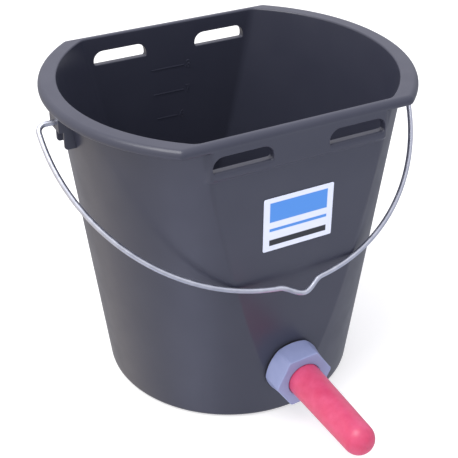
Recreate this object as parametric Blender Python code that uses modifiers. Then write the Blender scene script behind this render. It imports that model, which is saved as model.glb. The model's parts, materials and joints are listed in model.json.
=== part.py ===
"""
Calf feeding bucket with a wire bail and a screw-on rubber teat.

The bucket is one moulding: a conical wall with a flat front and a flat back,
a flat rim, four slots that hang it on a rail, and two ears for the bail.
The teat is held to the front by a union nut on a ball valve that goes through
the wall. Lengths are in metres. Z is up, the bucket's axis is the Z axis, it
stands on the XY plane, the ears lie along X and the teat points to -Y.
"""

import math

import bmesh
import bpy
from mathutils import Matrix, Vector

# Clearances
SEAT_GAP = 0.0003             # between two pieces that seat on each other
JOIN_STEP = 0.0002            # a joined block lies this far behind its neighbour

# Bucket: rim
RIM_RADIUS = 0.140
RIM_FLAT = 0.1077             # from the axis to the rim's two straight sides
RIM_THICKNESS = 0.0068
RIM_ROUND = 0.0020
RIM_CORNER = 0.0060           # rounding where the rim's arc meets a straight side
MOUTH_CORNER = 0.0030         # the same at the mouth
RIM_SINK = 0.0034             # what hangs under the rim is rooted this deep in it
RIM_REACH = 0.0109            # the rim stands this far out from the wall

# Bucket: wall and floor
BUCKET_HEIGHT = 0.253
BASE_RADIUS = 0.1005
WALL = 0.0027
FLOOR = 0.0032
BASE_ROUND = 0.0040
FLOOR_ROUND = 0.0080
FOOT_WIDTH = 0.0100           # ring that the bucket stands on
CENTRE_PAD = 0.0320           # radius of the pad in the middle of the base
BASE_RECESS = 0.0012          # between the foot ring and the pad

# Bucket: flat front and back
LEDGE = 0.0016                # the slotted band stands this far out from the flat
FLAT_LEAN = 0.0031            # the flat stands this much further out at the rim
FLAT_WALL = 0.0022            # thickness of the flat at the base

# Bucket: slots under the rim
SLOT_HEIGHT = 0.0110
SLOT_GAP = 0.0440             # between the two slots of one side
SLOT_SIDE = 0.0043            # from a slot's outer end to the band's end
FRONT_SLOT_DROP = 0.0107      # from the rim's top to the front slots
BACK_SLOT_DROP = 0.0126       # and to the back slots
SLOT_TOP_CORNER = 0.0080
SLOT_LOW_CORNER = 0.0020
BAND_MARGIN = 0.0044          # band under the lower slots
BAND_OVERRUN = 0.0063         # the band runs this far past the flat's end
BAND_CORNER = 0.0040

# Bucket: ears
EAR_WIDTH = 0.0180
EAR_THICKNESS = 0.0022
EAR_INSET = 0.0030            # ear plate behind the rim's edge
EAR_EDGE = 0.0052             # plate under the pivot
RIB_LENGTH = 0.0264           # ribs under the rim
RIB_SET = 0.0035              # foot of the ribs behind the plate's outer face
RIB_ROUND = 0.0022
HINGE_DROP = 0.0076           # pivot under the rim

# Bail
BAIL_WIRE = 0.0040
BAIL_REACH = 0.0095           # the bow stands this far out from the rim
BAIL_LEG = 0.0090             # straight leg between the pivot and the bow
BAIL_BEND = 0.0060
BAIL_TAIL_GAP = 0.0025        # wire's end in front of the wall
NOTCH_WIDTH = 0.0360
NOTCH_DEPTH = 0.0070

# Teat and valve, along their common axis
TEAT_HEIGHT = 0.0455          # of that axis above the base
PAD_PROUD = 0.0004            # round seat on the wall
SPOT_MARGIN = 0.0010          # flat spot round the gasket, inside
GASKET_THICKNESS = 0.0020
GASKET_RADIUS = 0.0215
WASHER_THICKNESS = 0.0010
WASHER_RADIUS = 0.0225
BODY_FLANGE = 0.0030
BODY_FLANGE_RADIUS = 0.0220
BODY_EDGE = 0.0008            # small bevels on the valve body
SPIGOT_RADIUS = 0.0160
SPIGOT_BORE = 0.0093
SPIGOT_LENGTH = 0.0121        # past the seat on the wall
INLET_RADIUS = 0.0045
INLET_LENGTH = 0.0020
BALL_RADIUS = 0.0070
CAGE_THICKNESS = 0.0010
CAGE_RADIUS = 0.0140
CAGE_BAR = 0.0022
NUT_RADIUS = 0.0236
NUT_ACROSS_FLATS = 0.0417     # at its front
NUT_FLARE = 0.0032            # each flat runs out this much to the back
NUT_LIP = 0.0030
NUT_TURN = math.radians(4.0)
TEAT_FLANGE = 0.0030
TEAT_BASE_RADIUS = 0.0135
TEAT_TIP_RADIUS = 0.0119
TEAT_REACH = 0.0841           # past the front of the nut
TEAT_WALL = 0.0026
TEAT_OPENING = 0.0010

# Label on the front
LABEL_WIDTH = 0.0564
LABEL_HEIGHT = 0.0430
LABEL_THICKNESS = 0.0003
LABEL_MIDDLE = 0.1790         # height of its middle above the base
LABEL_CORNER = 0.0012

# Facets of round shapes
AROUND = 96
AROUND_SMALL = 36
AROUND_BALL = 24
ROUND_STEPS = 3
TIP_STEPS = 7
NOTCH_STEPS = 14
BAIL_SAMPLES = 8              # on each run of the wire, to find where it rests
HALVINGS = 40

# Worked out from the sizes above
RIM_UNDERSIDE = BUCKET_HEIGHT - RIM_THICKNESS
MOUTH_RADIUS = RIM_RADIUS - RIM_REACH
FLAT_AT_RIM = RIM_FLAT - LEDGE
FLAT_AT_BASE = FLAT_AT_RIM - FLAT_LEAN
INNER_FLAT = FLAT_AT_BASE - FLAT_WALL
DRAFT = math.atan2(MOUTH_RADIUS - BASE_RADIUS, BUCKET_HEIGHT)
LEAN = math.atan2(FLAT_LEAN, BUCKET_HEIGHT)
SLOT_BOTTOMS = {"front": BUCKET_HEIGHT - FRONT_SLOT_DROP - SLOT_HEIGHT,
                "back": BUCKET_HEIGHT - BACK_SLOT_DROP - SLOT_HEIGHT}
BAND_BOTTOM = min(SLOT_BOTTOMS.values()) - BAND_MARGIN
BAND_FACE = RIM_FLAT - JOIN_STEP
BAND_RADIUS = BASE_RADIUS + (MOUTH_RADIUS - BASE_RADIUS) * BAND_BOTTOM / BUCKET_HEIGHT
BAND_HALF = math.sqrt(BAND_RADIUS ** 2 - BAND_FACE ** 2) + BAND_OVERRUN
SLOT_LENGTH = BAND_HALF - SLOT_SIDE - SLOT_GAP / 2
HINGE_HEIGHT = RIM_UNDERSIDE - HINGE_DROP
EAR_FACE = RIM_RADIUS - EAR_INSET
PAD_FACE = FLAT_AT_BASE + FLAT_LEAN * TEAT_HEIGHT / BUCKET_HEIGHT + PAD_PROUD
SPIGOT_END = PAD_FACE + SPIGOT_LENGTH
CAGE_FACE = SPIGOT_END + SEAT_GAP
TEAT_SEAT = CAGE_FACE + CAGE_THICKNESS + SEAT_GAP
GASKET_IN = INNER_FLAT - SEAT_GAP - GASKET_THICKNESS
FLANGE_IN = GASKET_IN - SEAT_GAP - BODY_FLANGE
BALL_SEAT = FLANGE_IN + INLET_LENGTH
NUT_SHOULDER = TEAT_SEAT + TEAT_FLANGE + SEAT_GAP
NUT_FRONT = NUT_SHOULDER + NUT_LIP
NUT_BACK = PAD_FACE + WASHER_THICKNESS + 2 * SEAT_GAP


def clear_scene():
    """Remove what the start-up file holds."""
    for item in list(bpy.data.objects):
        bpy.data.objects.remove(item, do_unlink=True)


def new_collection(name):
    group = bpy.data.collections.new(name)
    bpy.context.scene.collection.children.link(group)
    return group


clear_scene()
PARTS = new_collection("calf_feeding_bucket")
CUTTERS = new_collection("cutters")


def linear(hex_colour):
    """Linear RGBA from an sRGB hex colour."""
    values = [int(hex_colour[i:i + 2], 16) / 255 for i in (1, 3, 5)]
    turned = [v / 12.92 if v <= 0.04045 else ((v + 0.055) / 1.055) ** 2.4 for v in values]
    return (*turned, 1.0)


def material(name, colour, roughness, metallic=0.0):
    made = bpy.data.materials.new(name)
    made.use_nodes = True
    shader = made.node_tree.nodes["Principled BSDF"]
    shader.inputs["Base Color"].default_value = linear(colour)
    shader.inputs["Roughness"].default_value = roughness
    shader.inputs["Metallic"].default_value = metallic
    return made


def add_part(name, data, made_of):
    """A named piece of the bucket."""
    piece = bpy.data.objects.new(name, data)
    data.materials.clear()
    data.materials.append(made_of)
    PARTS.objects.link(piece)
    return piece


def add_cutter(name, data):
    """A shape that is only cut out of, or joined to, another one."""
    tool = bpy.data.objects.new(name, data)
    tool.hide_render = True
    tool.display_type = "WIRE"
    CUTTERS.objects.link(tool)
    return tool


def boolean(target, tool, operation):
    step = target.modifiers.new(f"{operation.lower()} {tool.name}", "BOOLEAN")
    step.operation = operation
    step.solver = "EXACT"
    step.object = tool


def join(target, tool):
    boolean(target, tool, "UNION")


def cut(target, tool):
    boolean(target, tool, "DIFFERENCE")


def arc(centre_x, centre_y, radius, start, end, steps):
    """Points of an arc, angles in radians, both ends included."""
    angles = [start + (end - start) * i / steps for i in range(steps + 1)]
    return [(centre_x + radius * math.cos(a), centre_y + radius * math.sin(a)) for a in angles]


def profile_mesh(name, points, closed):
    """Edges in the XZ plane that a Screw modifier turns."""
    mesh = bpy.data.meshes.new(name)
    edges = [(i, i + 1) for i in range(len(points) - 1)]
    if closed:
        edges.append((len(points) - 1, 0))
    mesh.from_pydata([(x, 0.0, z) for x, z in points], edges, [])
    return mesh


def turn(piece, around):
    """Turn the piece's profile about its own Z axis."""
    screw = piece.modifiers.new("turn", "SCREW")
    screw.axis = "Z"
    screw.steps = around
    screw.render_steps = around
    screw.use_merge_vertices = True
    screw.merge_threshold = 0.00001
    screw.use_smooth_shade = True


def box_mesh(name, low, high):
    """A box between two corners."""
    low = Vector(low)
    high = Vector(high)
    size = high - low
    place = Matrix.Translation((low + high) / 2) @ Matrix.Diagonal((*size, 1.0))
    shape = bmesh.new()
    bmesh.ops.create_cube(shape, size=1.0, matrix=place)
    mesh = bpy.data.meshes.new(name)
    shape.to_mesh(mesh)
    shape.free()
    return mesh


def plate_mesh(name, outlines, thickness, rounding=0.0, steps=ROUND_STEPS, place=None):
    """A flat plate in the XY plane from closed outlines, as a mesh with welded caps."""
    curve = bpy.data.curves.new(name, "CURVE")
    curve.dimensions = "2D"
    curve.fill_mode = "BOTH"
    curve.extrude = thickness / 2 - rounding
    curve.bevel_depth = rounding
    curve.bevel_resolution = steps - 1
    curve.offset = -rounding
    for outline in outlines:
        spline = curve.splines.new("POLY")
        spline.points.add(len(outline) - 1)
        for point, (x, y) in zip(spline.points, outline):
            point.co = (x, y, 0.0, 1.0)
        spline.use_cyclic_u = True
    holder = bpy.data.objects.new(name, curve)
    CUTTERS.objects.link(holder)
    bpy.context.view_layer.update()
    evaluated = holder.evaluated_get(bpy.context.evaluated_depsgraph_get())
    mesh = bpy.data.meshes.new_from_object(evaluated)
    bpy.data.objects.remove(holder)
    bpy.data.curves.remove(curve)
    shape = bmesh.new()
    shape.from_mesh(mesh)
    bmesh.ops.remove_doubles(shape, verts=shape.verts, dist=0.000001)
    if place is not None:
        bmesh.ops.transform(shape, matrix=place, verts=shape.verts)
    shape.to_mesh(mesh)
    shape.free()
    return mesh


def wall_radius(height):
    """Outer radius of the conical wall at a height."""
    return BASE_RADIUS + (MOUTH_RADIUS - BASE_RADIUS) * height / BUCKET_HEIGHT


def inner_radius(height):
    """Inner radius of the conical wall at a height."""
    return wall_radius(height) - WALL / math.cos(DRAFT)


def flat_distance(height):
    """Distance of the flat front from the bucket's axis at a height."""
    return FLAT_AT_BASE + FLAT_LEAN * height / BUCKET_HEIGHT


def flattened_circle(radius, flat, corner):
    """A circle cut by two straight sides along X, with rounded corners."""
    reach = radius - corner
    side = flat - corner
    centre_x = math.sqrt(reach * reach - side * side)
    turn_to = math.atan2(side, centre_x)
    arc_steps = round(AROUND * turn_to / (2 * math.pi))
    quarter = arc(0.0, 0.0, radius, 0.0, turn_to, arc_steps)
    quarter += arc(centre_x, side, corner, turn_to, math.pi / 2, ROUND_STEPS)[1:]
    left = [(-x, y) for x, y in reversed(quarter)]
    upper = quarter + left
    lower = [(x, -y) for x, y in reversed(upper[1:-1])]
    return upper + lower


def wall_solid():
    """The bucket's outer wall without its hollow, turned as one cone."""
    top = BUCKET_HEIGHT - RIM_ROUND
    tangent = BASE_ROUND * math.tan((math.pi / 2 - DRAFT) / 2)
    centre_x = BASE_RADIUS - tangent
    foot = arc(centre_x, BASE_ROUND, BASE_ROUND, -DRAFT, -math.pi / 2, ROUND_STEPS)
    points = [(0.0, top), (wall_radius(top), top)] + foot + [(0.0, 0.0)]
    return profile_mesh("bucket", points, closed=False)


def hollow_solid():
    """The conical inside of the bucket, above its floor."""
    top = BUCKET_HEIGHT + RIM_THICKNESS
    tangent = FLOOR_ROUND * math.tan((math.pi / 2 - DRAFT) / 2)
    centre_x = inner_radius(FLOOR) - tangent
    centre_z = FLOOR + FLOOR_ROUND
    heel = arc(centre_x, centre_z, FLOOR_ROUND, -DRAFT, -math.pi / 2, ROUND_STEPS + 1)
    points = [(0.0, top), (inner_radius(top), top)] + heel + [(0.0, FLOOR)]
    return profile_mesh("hollow", points, closed=False)


def flat_cutter(name, side, distance, lean, low, high):
    """A block beyond a flat face that leans out towards the rim; side is -1 or 1."""
    width = 2 * RIM_RADIUS
    data = box_mesh(name, (-width, 0.0, low), (width, width, high))
    tool = add_cutter(name, data)
    tool.location = (0.0, side * distance, 0.0)
    tool.rotation_euler = (-lean, 0.0, 0.0 if side > 0 else math.pi)
    return tool


def slot_outline():
    """Half-round topped slot, with its lower left corner at the origin."""
    low = SLOT_LOW_CORNER
    top = SLOT_TOP_CORNER
    length = SLOT_LENGTH
    height = SLOT_HEIGHT
    quarter = math.pi / 2
    outline = arc(low, low, low, 2 * quarter, 3 * quarter, ROUND_STEPS)
    outline += arc(length - low, low, low, 3 * quarter, 4 * quarter, ROUND_STEPS)
    outline += arc(length - top, height - top, top, 0.0, quarter, 2 * ROUND_STEPS)
    outline += arc(top, height - top, top, quarter, 2 * quarter, 2 * ROUND_STEPS)
    return outline


def upright(x, y, z):
    """Stands a plate up in the XZ plane at a place; the plate's Y becomes Z."""
    return Matrix.Translation((x, y, z)) @ Matrix.Rotation(math.pi / 2, 4, "X")


def add_rim(bucket):
    hole = flattened_circle(inner_radius(BUCKET_HEIGHT - RIM_ROUND) - JOIN_STEP,
                            INNER_FLAT - JOIN_STEP, MOUTH_CORNER)
    edge = flattened_circle(RIM_RADIUS, RIM_FLAT, RIM_CORNER)
    middle = Matrix.Translation((0.0, 0.0, BUCKET_HEIGHT - RIM_THICKNESS / 2))
    data = plate_mesh("rim", [edge, hole], RIM_THICKNESS, RIM_ROUND, place=middle)
    join(bucket, add_cutter("rim", data))


def add_bands(bucket):
    """The raised band that holds the slots, front and back."""
    root = INNER_FLAT - WALL
    height = RIM_UNDERSIDE + RIM_SINK - BAND_BOTTOM
    middle = Matrix.Translation((0.0, 0.0, BAND_BOTTOM + height / 2))
    corner = arc(BAND_HALF - BAND_CORNER, BAND_FACE - BAND_CORNER, BAND_CORNER,
                 0.0, math.pi / 2, ROUND_STEPS)
    half = [(BAND_HALF, root)] + corner
    outline = half + [(-x, y) for x, y in reversed(half)]
    for side, label in ((-1, "front"), (1, "back")):
        placed = [(x, side * y) for x, y in outline]
        data = plate_mesh(f"band_{label}", [placed], height, place=middle)
        join(bucket, add_cutter(f"band_{label}", data))


def rib_outline():
    """Side view of an ear's rib: X outwards, Y up."""
    root = inner_radius(RIM_UNDERSIDE - RIB_LENGTH) - WALL
    top = RIM_UNDERSIDE + RIM_SINK
    plate_bottom = HINGE_HEIGHT - EAR_EDGE
    foot = EAR_FACE - RIB_SET
    bottom = RIM_UNDERSIDE - RIB_LENGTH
    corner = arc(foot - RIB_ROUND, bottom + RIB_ROUND, RIB_ROUND, 0.0, -math.pi / 2, ROUND_STEPS)
    return [(root, top), (EAR_FACE, top), (EAR_FACE, plate_bottom), (foot, plate_bottom)] \
        + corner + [(root, bottom)]


def add_ears(bucket):
    """A plate under the rim at each end of the X axis, on two ribs."""
    rib_middle = (EAR_WIDTH - EAR_THICKNESS) / 2
    plate_bottom = HINGE_HEIGHT - EAR_EDGE + JOIN_STEP
    plate_top = RIM_UNDERSIDE + RIM_SINK - JOIN_STEP
    for side, label in ((-1, "left"), (1, "right")):
        outline = [(side * x, y) for x, y in rib_outline()]
        for place in (-rib_middle, rib_middle):
            name = f"rib_{label}_{'front' if place < 0 else 'back'}"
            data = plate_mesh(name, [outline], EAR_THICKNESS, place=upright(0.0, place, 0.0))
            join(bucket, add_cutter(name, data))
        outer = EAR_FACE - JOIN_STEP
        inner = EAR_FACE - EAR_THICKNESS
        low_x, high_x = sorted((side * outer, side * inner))
        data = box_mesh(f"ear_{label}", (low_x, -rib_middle, plate_bottom),
                        (high_x, rib_middle, plate_top))
        join(bucket, add_cutter(f"ear_{label}", data))


def rod_mesh(name, radius, start, end, around=AROUND_SMALL):
    """A cylinder between two points."""
    start = Vector(start)
    end = Vector(end)
    axis = end - start
    turned = axis.to_track_quat("Z", "Y").to_matrix().to_4x4()
    place = Matrix.Translation((start + end) / 2) @ turned
    shape = bmesh.new()
    bmesh.ops.create_cone(shape, cap_ends=True, segments=around, radius1=radius,
                          radius2=radius, depth=axis.length, matrix=place)
    mesh = bpy.data.meshes.new(name)
    shape.to_mesh(mesh)
    shape.free()
    return mesh


def make_bucket(made_of):
    bucket = add_part("bucket", wall_solid(), made_of)
    turn(bucket, AROUND)
    for side, label in ((-1, "front"), (1, "back")):
        cut(bucket, flat_cutter(f"flat_{label}", side, FLAT_AT_BASE, LEAN,
                                -BUCKET_HEIGHT, 2 * BUCKET_HEIGHT))
    add_rim(bucket)
    add_bands(bucket)
    add_ears(bucket)
    pad = rod_mesh("teat_pad", NUT_RADIUS, (0.0, -INNER_FLAT + WALL, TEAT_HEIGHT),
                   (0.0, -PAD_FACE, TEAT_HEIGHT))
    join(bucket, add_cutter("teat_pad", pad))

    hollow = add_cutter("hollow", hollow_solid())
    turn(hollow, AROUND)
    for side, label in ((-1, "front"), (1, "back")):
        cut(hollow, flat_cutter(f"inner_flat_{label}", side, INNER_FLAT, 0.0,
                                -BUCKET_HEIGHT, 2 * BUCKET_HEIGHT))
    cut(bucket, hollow)

    outline = slot_outline()
    for x, label in ((SLOT_GAP / 2, "right"), (-SLOT_GAP / 2 - SLOT_LENGTH, "left")):
        for side, end in ((-1, "front"), (1, "back")):
            name = f"slot_{end}_{label}"
            middle = side * (RIM_FLAT + INNER_FLAT) / 2
            data = plate_mesh(name, [outline], 2 * (RIM_FLAT - INNER_FLAT),
                              place=upright(x, middle, SLOT_BOTTOMS[end]))
            cut(bucket, add_cutter(name, data))

    spot = rod_mesh("gasket_spot", GASKET_RADIUS + SPOT_MARGIN, (0.0, -INNER_FLAT, TEAT_HEIGHT),
                    (0.0, -INNER_FLAT + 2 * WALL, TEAT_HEIGHT))
    cut(bucket, add_cutter("gasket_spot", spot))
    bore = rod_mesh("valve_bore", SPIGOT_RADIUS + SEAT_GAP, (0.0, -INNER_FLAT + WALL, TEAT_HEIGHT),
                    (0.0, -PAD_FACE - WALL, TEAT_HEIGHT))
    cut(bucket, add_cutter("valve_bore", bore))
    for side, label in ((-1, "left"), (1, "right")):
        start = (side * (EAR_FACE - EAR_THICKNESS - SEAT_GAP), 0.0, HINGE_HEIGHT)
        end = (side * (EAR_FACE + EAR_THICKNESS), 0.0, HINGE_HEIGHT)
        hole = rod_mesh(f"pivot_{label}", BAIL_WIRE / 2 + SEAT_GAP, start, end, AROUND_SMALL // 2)
        cut(bucket, add_cutter(f"pivot_{label}", hole))

    recess_outer = BASE_RADIUS - FOOT_WIDTH
    recess = [(recess_outer, BASE_RECESS), (recess_outer, -BASE_RECESS),
              (CENTRE_PAD, -BASE_RECESS), (CENTRE_PAD, BASE_RECESS)]
    base_cutter = add_cutter("base_recess", profile_mesh("base_recess", recess, closed=True))
    turn(base_cutter, AROUND)
    cut(bucket, base_cutter)
    return bucket


def bail_path():
    """The wire's middle line in its own plane: X across, and the distance from the pivot."""
    bow = RIM_RADIUS + BAIL_REACH
    tail = wall_radius(HINGE_HEIGHT) + BAIL_TAIL_GAP
    bend = arc(bow - BAIL_BEND, BAIL_BEND, BAIL_BEND, -math.pi / 2, 0.0, ROUND_STEPS)
    half = [(tail, 0.0)] + bend
    stop = math.acos(NOTCH_WIDTH / 2 / bow)
    half += arc(0.0, BAIL_LEG, bow, 0.0, stop, AROUND // 4)
    across = [NOTCH_WIDTH / 2 - NOTCH_WIDTH * i / NOTCH_STEPS for i in range(1, NOTCH_STEPS)]
    notch = []
    for x in across:
        swell = NOTCH_DEPTH * (0.5 + 0.5 * math.cos(2 * math.pi * x / NOTCH_WIDTH))
        notch.append((x, BAIL_LEG + math.sqrt(bow * bow - x * x) + swell))
    return half + notch + [(-x, s) for x, s in reversed(half)]


def off_wall(x, y, z):
    """Distance of a point outside the wall, from its cone or its flat, whichever is further."""
    from_cone = (math.hypot(x, y) - wall_radius(z)) * math.cos(DRAFT)
    from_flat = (abs(y) - flat_distance(z)) * math.cos(LEAN)
    return max(from_cone, from_flat)


def bail_rest_angle():
    """Angle between the hanging bail and the vertical where it comes to rest on the wall."""
    bow_path = [(x, s) for x, s in bail_path() if s > BAIL_LEG]
    bow_points = []
    for (x0, s0), (x1, s1) in zip(bow_path, bow_path[1:]):
        shares = [i / BAIL_SAMPLES for i in range(BAIL_SAMPLES)]
        bow_points += [(x0 + (x1 - x0) * k, s0 + (s1 - s0) * k) for k in shares]
    needed = BAIL_WIRE / 2 + SEAT_GAP
    touching = 0.0
    clear = math.pi / 2
    for _ in range(HALVINGS):
        angle = (touching + clear) / 2
        nearest = min(off_wall(x, -s * math.sin(angle), HINGE_HEIGHT - s * math.cos(angle))
                      for x, s in bow_points)
        if nearest < needed:
            touching = angle
        else:
            clear = angle
    return clear


def make_bail(made_of):
    """The bail as it hangs in front, with its origin on the pivot's axis."""
    angle = bail_rest_angle()
    curve = bpy.data.curves.new("bail", "CURVE")
    curve.dimensions = "3D"
    curve.bevel_depth = BAIL_WIRE / 2
    curve.bevel_resolution = 2
    curve.use_fill_caps = True
    spline = curve.splines.new("POLY")
    path = bail_path()
    spline.points.add(len(path) - 1)
    for point, (x, s) in zip(spline.points, path):
        point.co = (x, -s * math.sin(angle), -s * math.cos(angle), 1.0)
    spline.use_smooth = True
    bail = add_part("bail", curve, made_of)
    bail.location = (0.0, 0.0, HINGE_HEIGHT)
    print(f"bail hangs {math.degrees(angle):.3f} degrees from the vertical")
    print(f"bail swings {360 - 2 * math.degrees(angle):.3f} degrees to its rest behind")
    return bail


def turned_ring(name, made_of, axis_frame, points):
    """A turned piece on the teat's axis; a point is a radius and a distance from the bucket's axis."""
    piece = add_part(name, profile_mesh(name, points, closed=True), made_of)
    turn(piece, AROUND_SMALL)
    piece.parent = axis_frame
    return piece


def make_teat_axis():
    """Frame of the valve and teat: its Z axis points out of the bucket, to -Y."""
    axis_frame = bpy.data.objects.new("teat_axis", None)
    PARTS.objects.link(axis_frame)
    axis_frame.location = (0.0, 0.0, TEAT_HEIGHT)
    axis_frame.rotation_euler = (math.pi / 2, 0.0, 0.0)
    return axis_frame


def make_seals(rubber, axis_frame):
    """Flat rubber rings inside and outside the wall, round the valve's spigot."""
    hole = SPIGOT_RADIUS + SEAT_GAP
    turned_ring("inner_gasket", rubber, axis_frame,
                [(GASKET_RADIUS, GASKET_IN + GASKET_THICKNESS), (GASKET_RADIUS, GASKET_IN),
                 (hole, GASKET_IN), (hole, GASKET_IN + GASKET_THICKNESS)])
    washer_in = PAD_FACE + SEAT_GAP
    washer_out = washer_in + WASHER_THICKNESS
    turned_ring("outer_washer", rubber, axis_frame,
                [(WASHER_RADIUS, washer_out), (WASHER_RADIUS, washer_in),
                 (hole, washer_in), (hole, washer_out)])


def make_valve_body(valve_plastic, axis_frame):
    """Flanged spigot with a conical seat for the ball."""
    flange_out = GASKET_IN - SEAT_GAP
    seat_end = BALL_SEAT + SPIGOT_BORE - INLET_RADIUS
    turned_ring("valve_body", valve_plastic, axis_frame,
                [(SPIGOT_RADIUS - BODY_EDGE, SPIGOT_END), (SPIGOT_RADIUS, SPIGOT_END - BODY_EDGE),
                 (SPIGOT_RADIUS, flange_out), (BODY_FLANGE_RADIUS, flange_out),
                 (BODY_FLANGE_RADIUS, FLANGE_IN + BODY_EDGE),
                 (BODY_FLANGE_RADIUS - BODY_EDGE, FLANGE_IN),
                 (INLET_RADIUS, FLANGE_IN), (INLET_RADIUS, BALL_SEAT),
                 (SPIGOT_BORE, seat_end), (SPIGOT_BORE, SPIGOT_END)])


def make_ball(steel, axis_frame):
    """The ball on its 45 degree seat, with its origin on the valve's axis."""
    cone_apex = BALL_SEAT - INLET_RADIUS
    ball_rest = cone_apex + math.sqrt(2.0) * (BALL_RADIUS + SEAT_GAP)
    ball_mesh = bpy.data.meshes.new("valve_ball")
    shape = bmesh.new()
    bmesh.ops.create_uvsphere(shape, u_segments=AROUND_BALL, v_segments=AROUND_BALL // 2,
                              radius=BALL_RADIUS)
    shape.to_mesh(ball_mesh)
    shape.free()
    ball_mesh.shade_smooth()
    ball = add_part("valve_ball", ball_mesh, steel)
    ball.parent = axis_frame
    ball.location = (0.0, 0.0, ball_rest)
    travel = CAGE_FACE - SEAT_GAP - ball_rest - BALL_RADIUS
    print(f"ball rests {ball_rest * 1000:.3f} mm from the bucket's axis and travels "
          f"{travel * 1000:.3f} mm")


def cage_window(quarter):
    """Outline of one of the four openings between the cage's cross bars."""
    side = CAGE_BAR / 2
    start = math.asin(side / SPIGOT_BORE)
    outline = [(side, side)]
    outline += arc(0.0, 0.0, SPIGOT_BORE, start, math.pi / 2 - start, AROUND_SMALL // 4)
    around = Matrix.Rotation(quarter * math.pi / 2, 2)
    return [tuple(around @ Vector(point)) for point in outline]


def make_cage(valve_plastic, axis_frame):
    """Thin ring with a cross that keeps the ball in."""
    edge = arc(0.0, 0.0, CAGE_RADIUS, 0.0, 2 * math.pi, AROUND_SMALL)[:-1]
    outlines = [edge] + [cage_window(quarter) for quarter in range(4)]
    data = plate_mesh("ball_cage", outlines, CAGE_THICKNESS)
    cage = add_part("ball_cage", data, valve_plastic)
    cage.parent = axis_frame
    cage.location = (0.0, 0.0, CAGE_FACE + CAGE_THICKNESS / 2)


def make_nut(nut_plastic, axis_frame):
    """Union nut that pulls the teat's flange against the cage and the spigot."""
    bore = SPIGOT_RADIUS + SEAT_GAP
    mouth = TEAT_BASE_RADIUS + SEAT_GAP
    nut = turned_ring("union_nut", nut_plastic, axis_frame,
                      [(NUT_RADIUS, NUT_FRONT), (NUT_RADIUS, NUT_BACK), (bore, NUT_BACK),
                       (bore, NUT_SHOULDER), (mouth, NUT_SHOULDER), (mouth, NUT_FRONT)])
    add_nut_flats(nut, axis_frame)


def add_nut_flats(nut, axis_frame):
    """Six flats that run out into the round back of the nut."""
    to_corner = 1.0 / math.cos(math.pi / 6)
    overrun = NUT_LIP
    length = NUT_FRONT - NUT_BACK
    slope = NUT_FLARE / length
    front = NUT_ACROSS_FLATS / 2
    back = front + NUT_FLARE
    shape = bmesh.new()
    middle = (NUT_FRONT + NUT_BACK) / 2
    place = Matrix.Translation((0.0, 0.0, middle)) @ Matrix.Rotation(NUT_TURN, 4, "Z")
    bmesh.ops.create_cone(shape, cap_ends=True, segments=6,
                          radius1=(back + slope * overrun) * to_corner,
                          radius2=(front - slope * overrun) * to_corner,
                          depth=length + 2 * overrun, matrix=place)
    mesh = bpy.data.meshes.new("nut_flats")
    shape.to_mesh(mesh)
    shape.free()
    tool = add_cutter("nut_flats", mesh)
    tool.parent = axis_frame
    boolean(nut, tool, "INTERSECT")


def make_teat(soft_rubber, axis_frame):
    """Hollow teat with a round tip and a flange that the nut clamps."""
    tip = NUT_FRONT + TEAT_REACH
    round_middle = tip - TEAT_TIP_RADIUS
    flange_face = TEAT_SEAT + TEAT_FLANGE
    inner_tip = TEAT_TIP_RADIUS - TEAT_WALL
    inner_base = TEAT_BASE_RADIUS - TEAT_WALL
    outer_stop = math.acos(TEAT_OPENING / TEAT_TIP_RADIUS)
    inner_stop = math.acos(TEAT_OPENING / inner_tip)
    outer_cap = arc(0.0, round_middle, TEAT_TIP_RADIUS, outer_stop, 0.0, TIP_STEPS)
    inner_cap = arc(0.0, round_middle, inner_tip, 0.0, inner_stop, TIP_STEPS)
    points = outer_cap + [(TEAT_BASE_RADIUS, NUT_FRONT), (TEAT_BASE_RADIUS, flange_face),
                          (SPIGOT_RADIUS, flange_face), (SPIGOT_RADIUS, TEAT_SEAT),
                          (inner_base, TEAT_SEAT)] + inner_cap
    turned_ring("teat", soft_rubber, axis_frame, points)


def make_label(made_of):
    """Thin printed sticker on the flat front, leaning with it."""
    quarter = math.pi / 2
    half_w = LABEL_WIDTH / 2 - LABEL_CORNER
    half_h = LABEL_HEIGHT / 2 - LABEL_CORNER
    centres = [(half_w, half_h), (-half_w, half_h), (-half_w, -half_h), (half_w, -half_h)]
    outline = []
    for turns, (x, y) in enumerate(centres):
        start = turns * quarter
        outline += arc(x, y, LABEL_CORNER, start, start + quarter, ROUND_STEPS)
    back = flat_distance(LABEL_MIDDLE) + SEAT_GAP / math.cos(LEAN)
    middle = back + LABEL_THICKNESS / 2
    stand = Matrix.Rotation(math.pi / 2 + LEAN, 4, "X")
    place = Matrix.Translation((0.0, -middle, LABEL_MIDDLE)) @ stand
    return add_part("label", plate_mesh("label", [outline], LABEL_THICKNESS, place=place), made_of)


def main():
    bucket_plastic = material("black polypropylene", "#3a3c48", 0.35)
    wire_zinc = material("galvanised wire", "#c8ccd6", 0.30, 1.0)
    nut_plastic = material("grey-blue polypropylene", "#9da3c8", 0.40)
    valve_plastic = material("white acetal", "#e4e4e0", 0.35)
    rubber = material("black rubber", "#1b1b1d", 0.60)
    soft_rubber = material("red natural rubber", "#d8456a", 0.40)
    steel = material("stainless steel", "#c9c9c9", 0.20, 1.0)
    paper = material("white vinyl", "#e2e6f6", 0.35)
    make_bucket(bucket_plastic)
    make_bail(wire_zinc)
    axis_frame = make_teat_axis()
    make_seals(rubber, axis_frame)
    make_valve_body(valve_plastic, axis_frame)
    make_ball(steel, axis_frame)
    make_cage(valve_plastic, axis_frame)
    make_nut(nut_plastic, axis_frame)
    make_teat(soft_rubber, axis_frame)
    make_label(paper)


main()
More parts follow.
